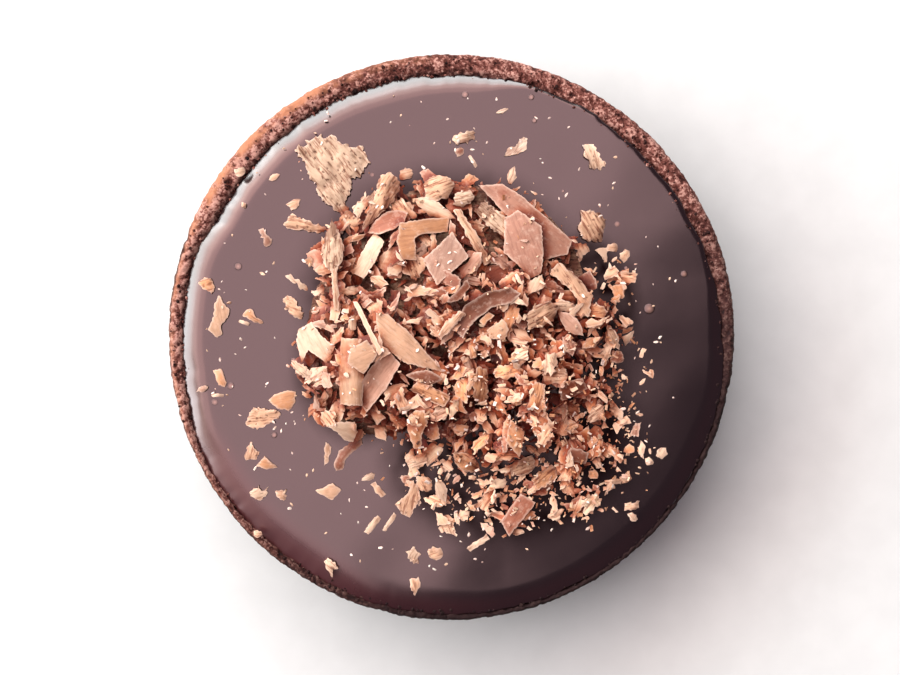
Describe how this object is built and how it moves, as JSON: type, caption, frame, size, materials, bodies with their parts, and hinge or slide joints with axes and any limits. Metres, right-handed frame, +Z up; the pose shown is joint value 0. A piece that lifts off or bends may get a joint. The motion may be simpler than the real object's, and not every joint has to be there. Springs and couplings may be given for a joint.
{
  "type": "chocolate tart",
  "caption": "Round single-serving tart: a cocoa pastry shell filled with glossy dark ganache, topped with a heap of grated and shaved milk chocolate.",
  "frame": {"origin": "centre of the shell's flat underside", "axes": "+Z up, out of the ganache; +Y towards the side where the pastry rim shows widest, +X to the right of it, seen from above"},
  "size_m": [0.0901, 0.0901, 0.0298],
  "materials": {
    "pastry": "dry, sandy baked cocoa pastry",
    "ganache": "smooth, satin gloss",
    "shavings": "dry grated milk chocolate, waxy on its cut faces"
  },
  "bodies": {
    "root": {"pastry_shell": "pastry", "ganache": "ganache", "shavings_heap": "shavings", "shaving_fan": "shavings", "shaving_lump_east": "shavings", "shaving_blade_west": "shavings", "shaving_curl_north_east": "shavings", "shaving_splinter_north": "shavings", "shaving_stick_north": "shavings", "shaving_boat_west": "shavings", "shaving_chip_west": "shavings", "shaving_plate_south_west": "shavings", "shaving_scrap_south_west": "shavings", "shaving_arrow_south": "shavings"}
  },
  "joints": []
}
